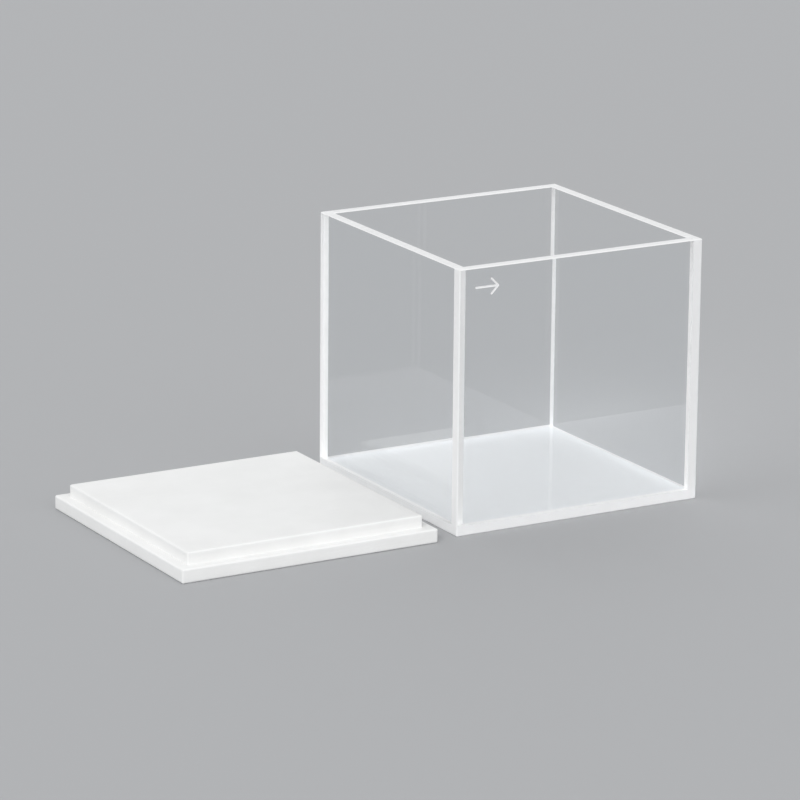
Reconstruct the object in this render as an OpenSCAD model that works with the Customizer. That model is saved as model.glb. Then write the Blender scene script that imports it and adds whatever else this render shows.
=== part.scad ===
// Large square cuvette: an open-topped optical cell of five bonded plates,
// with its loose lid lying upside down beside it.
// The four walls stand on the base plate and overlap round the corners like a
// pinwheel: each one covers the end of its neighbour on one side only.
// +X runs to the right along the marked front wall, +Y to the back, +Z up.
// The origin is at the centre of the cell's underside. Millimetres.

/* [Cell] */
// Width inside the cell, along X
inner_w = 50; // [30:1:100]
// Depth inside the cell, along Y
inner_d = 50; // [30:1:100]
// Height inside the cell, from the floor to the rim
inner_h = 50; // [30:1:100]
// Thickness of the four wall plates
wall_t = 2; // [1:0.1:5]
// Thickness of the base plate
base_t = 2; // [1:0.1:5]
// Bevel ground along the outer edges and round the mouth
bevel = 0.2; // [0.1:0.05:0.4]

/* [Lid] */
// Thickness of the cover plate, which lies flush with the outside of the walls
cover_t = 2.8; // [1.5:0.1:6]
// Height of the plug that drops into the mouth
plug_h = 2.4; // [1:0.1:10]
// Clearance between the plug and each wall
plug_clearance = 0.15; // [0.05:0.05:0.5]
// Bevel along the lid's edges
lid_bevel = 0.25; // [0.1:0.05:0.5]
// Gap between the cell and the lid lying beside it
lid_gap = 4.9; // [2:0.1:20]
// How far the lid lies forward of the cell
lid_forward = 1.5; // [0:0.5:15]

/* [Etched arrow] */
// Length of the arrow
arrow_w = 5.2; // [3:0.1:8]
// Height of the arrow's head
arrow_h = 3.3; // [2:0.1:5]
// Width of the etched line
line_w = 0.4; // [0.2:0.05:0.6]
// Depth of the etched line
line_depth = 0.1; // [0.05:0.05:0.3]
// Distance from the cell's left side to the arrow
arrow_side = 3.4; // [1:0.1:10]
// Distance from the rim down to the arrow
arrow_drop = 2.2; // [1:0.1:10]

/* [Hidden] */
$fn = 48;

outer_w = inner_w + 2 * wall_t;
outer_d = inner_d + 2 * wall_t;
outer_h = inner_h + base_t;

plug_w = inner_w - 2 * plug_clearance;
plug_d = inner_d - 2 * plug_clearance;
lid_x = -(outer_w + lid_gap);
lid_y = -lid_forward;

// What a cutter reaches past the surface it cuts
overshoot = 1;

glass_colour = [0.86, 0.92, 0.97, 0.45];
lid_colour = [0.97, 0.97, 0.96];

// Rectangle centred on X and standing on y = 0, with its four corners cut off
module cut_rectangle(w, h, cut) {
    half = w / 2;
    polygon([
        [cut - half, 0], [half - cut, 0], [half, cut], [half, h - cut],
        [half - cut, h], [cut - half, h], [-half, h - cut], [-half, cut]
    ]);
}

// Block centred on the Z axis and standing on z = 0, all twelve edges bevelled
module bevelled_block(w, d, h, cut) {
    intersection() {
        translate([0, -d / 2, 0]) linear_extrude(h) cut_rectangle(w, d, cut);
        translate([0, d / 2, 0]) rotate([90, 0, 0]) linear_extrude(d) cut_rectangle(w, h, cut);
        translate([-w / 2, 0, 0]) rotate([90, 0, 90]) linear_extrude(w) cut_rectangle(d, h, cut);
    }
}

// Half of the bevel cutter for the mouth, as seen from one side
module mouth_profile(w) {
    low = w / 2;
    high = low + bevel + overshoot;
    polygon([[-low, outer_h - bevel], [low, outer_h - bevel], [high, outer_h + overshoot],
             [-high, outer_h + overshoot]]);
}

// Square funnel that bevels the inner edge of the rim
module mouth_bevel() {
    reach = outer_w + outer_d;
    intersection() {
        translate([0, reach / 2, 0]) rotate([90, 0, 0]) linear_extrude(reach) mouth_profile(inner_w);
        translate([-reach / 2, 0, 0]) rotate([90, 0, 90]) linear_extrude(reach) mouth_profile(inner_d);
    }
}

// The part of the bevelled cell between two corners, given as lowest and highest point
module cell_slab(low, high) {
    difference() {
        intersection() {
            bevelled_block(outer_w, outer_d, outer_h, bevel);
            translate(low) cube(high - low);
        }
        mouth_bevel();
    }
}

// Straight etched line with round ends, drawn in the plane of the front wall
module etched_line(from, to) {
    run = to - from;
    depth = line_depth + overshoot;
    translate([from[0], depth - overshoot, from[1]]) rotate([90, 0, 0]) {
        cylinder(h = depth, d = line_w);
        rotate([0, 0, atan2(run[1], run[0])]) translate([0, -line_w / 2, 0]) cube([norm(run), line_w, depth]);
        translate([run[0], run[1], 0]) cylinder(h = depth, d = line_w);
    }
}

// Plain arrow with an open head, pointing right; its box starts at the origin
module etched_arrow() {
    r = line_w / 2;
    tip = [arrow_w - r, arrow_h / 2];
    head = arrow_h / 2 - r;
    etched_line([r, arrow_h / 2], tip);
    for (side = [-1, 1]) etched_line(tip, tip + [-head, side * head]);
}

module base_plate() {
    color(glass_colour)
        cell_slab([-outer_w / 2, -outer_d / 2, 0], [outer_w / 2, outer_d / 2, base_t]);
}

module front_wall() {
    color(glass_colour) difference() {
        cell_slab([-outer_w / 2, -outer_d / 2, base_t], [outer_w / 2 - wall_t, wall_t - outer_d / 2, outer_h]);
        translate([arrow_side - outer_w / 2, -outer_d / 2, outer_h - arrow_drop - arrow_h]) etched_arrow();
    }
}

module right_wall() {
    color(glass_colour)
        cell_slab([outer_w / 2 - wall_t, -outer_d / 2, base_t], [outer_w / 2, outer_d / 2 - wall_t, outer_h]);
}

module back_wall() {
    color(glass_colour)
        cell_slab([wall_t - outer_w / 2, outer_d / 2 - wall_t, base_t], [outer_w / 2, outer_d / 2, outer_h]);
}

module left_wall() {
    color(glass_colour)
        cell_slab([-outer_w / 2, wall_t - outer_d / 2, base_t], [wall_t - outer_w / 2, outer_d / 2, outer_h]);
}

// Cover plate underneath and plug on top, as the lid lies when it is taken off
module lid() {
    buried = cover_t / 2;
    color(lid_colour) translate([lid_x, lid_y, 0]) {
        bevelled_block(outer_w, outer_d, cover_t, lid_bevel);
        translate([0, 0, cover_t - buried]) bevelled_block(plug_w, plug_d, plug_h + buried, lid_bevel);
    }
}

base_plate();
front_wall();
right_wall();
back_wall();
left_wall();
lid();
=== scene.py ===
"""The looks of a large square cuvette: five clear bonded plates with ground edges, and a white lid beside it.

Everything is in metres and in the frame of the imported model. The cell stands on z = 0, centred on the Z
axis, with its marked wall towards -Y, and the lid lies upside down towards -X.
"""

import math

import bmesh
import bpy
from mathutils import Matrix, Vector


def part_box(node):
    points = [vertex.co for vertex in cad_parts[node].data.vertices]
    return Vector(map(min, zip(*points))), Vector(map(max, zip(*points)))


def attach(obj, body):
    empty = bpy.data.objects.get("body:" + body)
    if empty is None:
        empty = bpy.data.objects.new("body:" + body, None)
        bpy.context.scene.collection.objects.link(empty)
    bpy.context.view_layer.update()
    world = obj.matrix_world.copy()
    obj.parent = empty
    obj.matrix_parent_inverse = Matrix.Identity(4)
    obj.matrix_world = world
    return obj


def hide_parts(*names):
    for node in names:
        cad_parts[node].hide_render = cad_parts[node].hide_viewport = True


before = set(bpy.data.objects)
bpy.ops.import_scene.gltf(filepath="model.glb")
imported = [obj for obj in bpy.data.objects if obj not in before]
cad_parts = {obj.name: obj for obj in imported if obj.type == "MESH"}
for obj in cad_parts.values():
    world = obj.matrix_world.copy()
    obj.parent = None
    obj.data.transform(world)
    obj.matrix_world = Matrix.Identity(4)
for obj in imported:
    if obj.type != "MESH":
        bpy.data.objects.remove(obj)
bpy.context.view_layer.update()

MM = 0.001

PLATES = ("base_plate", "front_wall", "right_wall", "back_wall", "left_wall")
BODY = "root"

# The finishes of a plate, in the order of its material slots
POLISHED, GROUND, BONDED, JOINT, ETCHED, FROSTED = range(6)

# How far a test point is moved off a face, to see what lies on its outer side
PROBE = 0.02 * MM
# How far a bonded end stays behind the flat side that it is bonded to, so that no ray can miss it
SET_BACK = 0.01 * MM
# A face looks along an axis if its normal has more than this along it
SQUARE = 0.99
# Corners closer together than this are one corner
WELD = 0.0005 * MM
# Faces that meet within this angle, in degrees, lie in one plane
FLAT = 0.5

# How the lid's edges are softened, and the angle between faces, in degrees, from which an edge is sharp
SOFT_WIDTH = 0.12 * MM
SOFT_STEPS = 3
SHARP = 30

# Refractive index of fused quartz
QUARTZ_IOR = 1.458

# The part of a noise's range that most of its values lie in
NOISE_LOW = 0.3
NOISE_HIGH = 0.7

# The floor's radius in metres, the number of its sides, and how far it lies below the part
FLOOR_RADIUS = 5.5
FLOOR_SIDES = 96
FLOOR_DROP = 0.01 * MM

# Where the camera stands as seen from the part, and how far it is rolled, in degrees
VIEW_AZIMUTH = -29.85
VIEW_ELEVATION = 15.49
VIEW_ROLL = 0.49
# Its focal length in millimetres, the point it looks at, and its distance from that point
LENS = 202.86
AIM = Vector((-19.47, 8.09, 17.35)) * MM
CAMERA_DISTANCE = 880.5 * MM

# How often light may be turned: by glass and gloss, and by matte surfaces
CLEAR_BOUNCES = 32
MATTE_BOUNCES = 12


# ---------------------------------------------------------------- node helpers


def new_material(name):
    """An empty node material with its output node."""
    material = bpy.data.materials.new(name)
    material.use_nodes = True
    tree = material.node_tree
    tree.nodes.clear()
    output = tree.nodes.new("ShaderNodeOutputMaterial")
    return material, tree, output


def principled(tree, **values):
    """A Principled node with constants set on its own sockets, named with _ for each space."""
    node = tree.nodes.new("ShaderNodeBsdfPrincipled")
    for name, value in values.items():
        node.inputs[name.replace("_", " ")].default_value = value
    return node


def grey(level):
    """A colour without a tint."""
    return (level, level, level)


def place(tree):
    """Position on the object, in metres."""
    return tree.nodes.new("ShaderNodeTexCoord").outputs["Object"]


def noise_at(tree, position, scale, detail):
    """Noise at this position, with its grains made smaller by this scale."""
    node = tree.nodes.new("ShaderNodeTexNoise")
    node.inputs["Scale"].default_value = scale
    node.inputs["Detail"].default_value = detail
    tree.links.new(position, node.inputs["Vector"])
    return node.outputs["Fac"]


def noise(tree, grain, detail):
    """Noise with grains of about this size, in metres."""
    return noise_at(tree, place(tree), 1 / grain, detail)


def streaks(tree, run, pitch, detail):
    """Noise drawn out along X to this run, with this distance between its lines, in metres."""
    drawn = tree.nodes.new("ShaderNodeMapping")
    drawn.inputs["Scale"].default_value = (1 / run, 1 / pitch, 1 / pitch)
    tree.links.new(place(tree), drawn.inputs["Vector"])
    return noise_at(tree, drawn.outputs["Vector"], 1, detail)


def remap(tree, value, low, high):
    """Spreads the middle of a noise over low to high."""
    node = tree.nodes.new("ShaderNodeMapRange")
    node.inputs["From Min"].default_value = NOISE_LOW
    node.inputs["From Max"].default_value = NOISE_HIGH
    node.inputs["To Min"].default_value = low
    node.inputs["To Max"].default_value = high
    tree.links.new(value, node.inputs["Value"])
    return node.outputs["Result"]


def blend_colours(tree, value, dark, light):
    """A colour between dark and light."""
    node = tree.nodes.new("ShaderNodeMix")
    node.data_type = "RGBA"
    node.inputs["A"].default_value = (*dark, 1)
    node.inputs["B"].default_value = (*light, 1)
    tree.links.new(value, node.inputs["Factor"])
    return node.outputs["Result"]


def bump(tree, height, depth):
    """A normal from a height map whose full range is depth metres."""
    node = tree.nodes.new("ShaderNodeBump")
    node.inputs["Strength"].default_value = 1
    node.inputs["Distance"].default_value = depth
    tree.links.new(height, node.inputs["Height"])
    return node.outputs["Normal"]


def mix_shaders(tree, factor, first, second):
    """first where factor is 0, second where it is 1; factor is a number or a node's output."""
    node = tree.nodes.new("ShaderNodeMixShader")
    if isinstance(factor, float):
        node.inputs["Fac"].default_value = factor
    else:
        tree.links.new(factor, node.inputs["Fac"])
    tree.links.new(first.outputs[0], node.inputs[1])
    tree.links.new(second.outputs[0], node.inputs[2])
    return node


def lit_through(tree, surface, share):
    """The same surface, which lets this share of the lamps' light through to what stands behind it."""
    clear = tree.nodes.new("ShaderNodeBsdfTransparent")
    clear.inputs["Color"].default_value = (*share, 1)
    path = tree.nodes.new("ShaderNodeLightPath")
    return mix_shaders(tree, path.outputs["Is Shadow Ray"], surface, clear).outputs[0]


# ---------------------------------------------------------------- materials


def polished_glass():
    """Clear optical glass, polished on both sides, with the faintest film left by handling."""
    material, tree, output = new_material("polished_glass")
    glass = principled(tree, Base_Color=(0.985, 0.992, 0.996, 1), IOR=QUARTZ_IOR, Transmission_Weight=1.0)
    film = remap(tree, noise(tree, grain=7 * MM, detail=3), low=0, high=0.02)
    tree.links.new(film, glass.inputs["Roughness"])
    surface = lit_through(tree, glass, share=(0.965, 0.968, 0.972))
    tree.links.new(surface, output.inputs["Surface"])
    return material


def ground_glass(name, dark, light, glow):
    """Fine-ground glass: a bright frost with a sugary grain, in tones between dark and light.

    This share of it, glow, is lit by what falls on its other side.
    """
    material, tree, output = new_material(name)
    frost = principled(tree, Roughness=0.55, IOR=QUARTZ_IOR, Specular_IOR_Level=0.3)
    scatter = tree.nodes.new("ShaderNodeBsdfTranslucent")
    patches = remap(tree, noise(tree, grain=2.2 * MM, detail=4), low=0, high=1)
    colour = blend_colours(tree, patches, dark, light)
    tree.links.new(colour, frost.inputs["Base Color"])
    tree.links.new(colour, scatter.inputs["Color"])
    sugar = bump(tree, noise(tree, grain=0.2 * MM, detail=4), depth=0.035 * MM)
    tree.links.new(sugar, frost.inputs["Normal"])
    surface = lit_through(tree, mix_shaders(tree, glow, frost, scatter), share=grey(0.85))
    tree.links.new(surface, output.inputs["Surface"])
    return material


def bond_line():
    """The flat side of a bonded joint, where light goes straight on to the ground end behind it."""
    material, tree, output = new_material("bond_line")
    clear = tree.nodes.new("ShaderNodeBsdfTransparent")
    tree.links.new(clear.outputs[0], output.inputs["Surface"])
    return material


def lid_plastic():
    """Dense white fluoropolymer, with the faint feed marks of the cutter that faced it."""
    material, tree, output = new_material("lid_plastic")
    plastic = principled(tree, IOR=1.38, Subsurface_Weight=0.15, Subsurface_Radius=(1.0, 1.0, 1.0),
                         Subsurface_Scale=1.5 * MM)
    tone = remap(tree, noise(tree, grain=9 * MM, detail=5), low=0, high=1)
    colour = blend_colours(tree, tone, dark=(0.90, 0.90, 0.89), light=(0.94, 0.94, 0.93))
    tree.links.new(colour, plastic.inputs["Base Color"])
    feed = streaks(tree, run=45 * MM, pitch=0.9 * MM, detail=3)
    tree.links.new(remap(tree, feed, low=0.38, high=0.5), plastic.inputs["Roughness"])
    tree.links.new(bump(tree, feed, depth=0.06 * MM), plastic.inputs["Normal"])
    tree.links.new(plastic.outputs[0], output.inputs["Surface"])
    return material


def studio_floor():
    """Plain pale matte floor."""
    material, tree, output = new_material("studio_floor")
    matte = principled(tree, Base_Color=(0.44, 0.445, 0.455, 1), Roughness=0.75)
    tree.links.new(matte.outputs[0], output.inputs["Surface"])
    return material


# ---------------------------------------------------------------- pieces


def solid_of(node):
    """The CAD node's closed surface as clean flat faces."""
    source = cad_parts[node].data
    mesh = bmesh.new()
    corners = [mesh.verts.new(vertex.co) for vertex in source.vertices]
    for face in source.polygons:
        mesh.faces.new([corners[i] for i in face.vertices])
    bmesh.ops.remove_doubles(mesh, verts=mesh.verts, dist=WELD)
    merge_flat(mesh)
    return mesh


def merge_flat(mesh, **delimit):
    """Joins neighbouring faces that lie in one plane."""
    bmesh.ops.dissolve_limit(mesh, angle_limit=math.radians(FLAT), verts=mesh.verts, edges=mesh.edges,
                             **delimit)


def cut_at(mesh, axis, value):
    """Splits the faces along one plane, without taking anything away."""
    point, normal = Vector((0, 0, 0)), Vector((0, 0, 0))
    point[axis], normal[axis] = value, 1
    bmesh.ops.bisect_plane(mesh, geom=mesh.verts[:] + mesh.edges[:] + mesh.faces[:],
                           dist=WELD, plane_co=point, plane_no=normal)


def cut_at_neighbours(mesh, own, others):
    """Splits the faces of the plate in this box along the sides of the other plates' boxes."""
    low, high = own
    for box in others:
        for corner in box:
            for axis in range(3):
                if low[axis] + PROBE < corner[axis] < high[axis] - PROBE:
                    cut_at(mesh, axis, corner[axis])


def inside(point, box):
    """True if the point lies within the box."""
    low, high = box
    return all(low[i] < point[i] < high[i] for i in range(3))


def finish_of(face, own, thin, others):
    """How the glass is finished at this face of a plate whose thickness runs along the axis thin."""
    low, high = own
    centre = face.calc_center_median()
    on_flat_side = abs(face.normal[thin]) > SQUARE
    if any(inside(centre + face.normal * PROBE, box) for box in others):
        return BONDED if on_flat_side else JOINT
    if face.normal.z < -SQUARE and centre.z - low.z < PROBE:
        return FROSTED
    if on_flat_side:
        depth = min(abs(centre[thin] - low[thin]), abs(centre[thin] - high[thin]))
        return POLISHED if depth < PROBE else ETCHED
    return GROUND


def set_back_joints(mesh):
    """Moves the bonded ends a hair into their own plate; a corner that two of them share moves both ways."""
    moves = {}
    for face in mesh.faces:
        if face.material_index == JOINT:
            for corner in face.verts:
                moves.setdefault(corner, set()).add(tuple(round(n) for n in face.normal))
    for corner, normals in moves.items():
        for normal in normals:
            corner.co -= Vector(normal) * SET_BACK


def finished(node, mesh, materials, ending):
    """Makes the object, and lets it stand for its CAD node."""
    data = bpy.data.meshes.new(node + ending)
    mesh.to_mesh(data)
    mesh.free()
    for material in materials:
        data.materials.append(material)
    piece = bpy.data.objects.new(node + ending, data)
    bpy.context.scene.collection.objects.link(piece)
    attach(piece, BODY)
    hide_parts(node)
    return piece


def glass_plate(node, materials):
    """A plate of the cell, with each of its faces given its own finish."""
    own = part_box(node)
    others = [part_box(n) for n in PLATES if n != node]
    size = own[1] - own[0]
    thin = min(range(3), key=lambda i: size[i])
    mesh = solid_of(node)
    cut_at_neighbours(mesh, own, others)
    for face in mesh.faces:
        face.material_index = finish_of(face, own, thin, others)
    merge_flat(mesh, delimit={"MATERIAL"})
    set_back_joints(mesh)
    finished(node, mesh, materials, "_glass")


def soft_edged_lid():
    """The lid with its edges softened, as a cutter leaves them in a soft plastic."""
    lid = finished("lid", solid_of("lid"), [lid_plastic()], "_turned")
    edges = lid.modifiers.new("soft edges", "BEVEL")
    edges.width = SOFT_WIDTH
    edges.segments = SOFT_STEPS
    edges.limit_method = "ANGLE"
    edges.angle_limit = math.radians(SHARP)


# ---------------------------------------------------------------- stage


def towards(azimuth, elevation):
    """Unit vector from the part towards a viewer or lamp; azimuth 0 is in front, at -Y."""
    a, e = math.radians(azimuth), math.radians(elevation)
    return Vector((math.sin(a) * math.cos(e), -math.cos(a) * math.cos(e), math.sin(e)))


def floor():
    """A wide pale floor just under the part."""
    mesh = bmesh.new()
    bmesh.ops.create_circle(mesh, cap_ends=True, radius=FLOOR_RADIUS, segments=FLOOR_SIDES)
    data = bpy.data.meshes.new("floor")
    mesh.to_mesh(data)
    mesh.free()
    data.materials.append(studio_floor())
    plane = bpy.data.objects.new("floor", data)
    plane.location.z = -FLOOR_DROP
    bpy.context.scene.collection.objects.link(plane)


def sky():
    """Even pale light from all round."""
    world = bpy.data.worlds.new("studio")
    world.use_nodes = True
    background = world.node_tree.nodes["Background"]
    background.inputs["Color"].default_value = (0.98, 0.99, 1.0, 1)
    background.inputs["Strength"].default_value = 0.74
    bpy.context.scene.world = world


def sun(name, azimuth, elevation, strength, softness):
    """Light from far away: the side it comes from and the width of its source are in degrees."""
    data = bpy.data.lights.new(name, "SUN")
    data.energy = strength
    data.angle = math.radians(softness)
    lamp = bpy.data.objects.new(name, data)
    lamp.rotation_euler = towards(azimuth, elevation).to_track_quat("Z", "Y").to_euler()
    bpy.context.scene.collection.objects.link(lamp)


def camera():
    """The camera at the photograph's angle."""
    data = bpy.data.cameras.new("camera")
    data.lens = LENS
    data.clip_start = 0.05
    data.clip_end = 100
    eye = bpy.data.objects.new("camera", data)
    back = towards(VIEW_AZIMUTH, VIEW_ELEVATION)
    eye.location = AIM + back * CAMERA_DISTANCE
    eye.rotation_euler = back.to_track_quat("Z", "Y").to_euler()
    eye.rotation_euler.rotate_axis("Z", math.radians(VIEW_ROLL))
    bpy.context.scene.collection.objects.link(eye)
    bpy.context.scene.camera = eye


def deep_light_paths():
    """Lets light run through many faces, because a plate guides it to its far end."""
    cycles = bpy.context.scene.cycles
    cycles.max_bounces = CLEAR_BOUNCES
    cycles.diffuse_bounces = MATTE_BOUNCES
    cycles.glossy_bounces = CLEAR_BOUNCES
    cycles.transmission_bounces = CLEAR_BOUNCES
    cycles.transparent_max_bounces = CLEAR_BOUNCES


# ---------------------------------------------------------------- the scene

plate_finishes = [
    polished_glass(),
    ground_glass("ground_glass", grey(0.97), grey(0.995), glow=0.15),
    bond_line(),
    ground_glass("joint_glass", grey(0.97), grey(0.995), glow=0.0),
    ground_glass("etched_glass", grey(0.95), grey(0.98), glow=0.1),
    ground_glass("frosted_glass", (0.94, 0.95, 0.96), (0.97, 0.98, 0.99), glow=0.1),
]
for plate in PLATES:
    glass_plate(plate, plate_finishes)
soft_edged_lid()

floor()
sky()
sun("key", azimuth=-50, elevation=35, strength=1.1, softness=25)
sun("fill", azimuth=15, elevation=28, strength=0.28, softness=40)
camera()
bpy.context.scene.view_settings.view_transform = "Standard"
deep_light_paths()
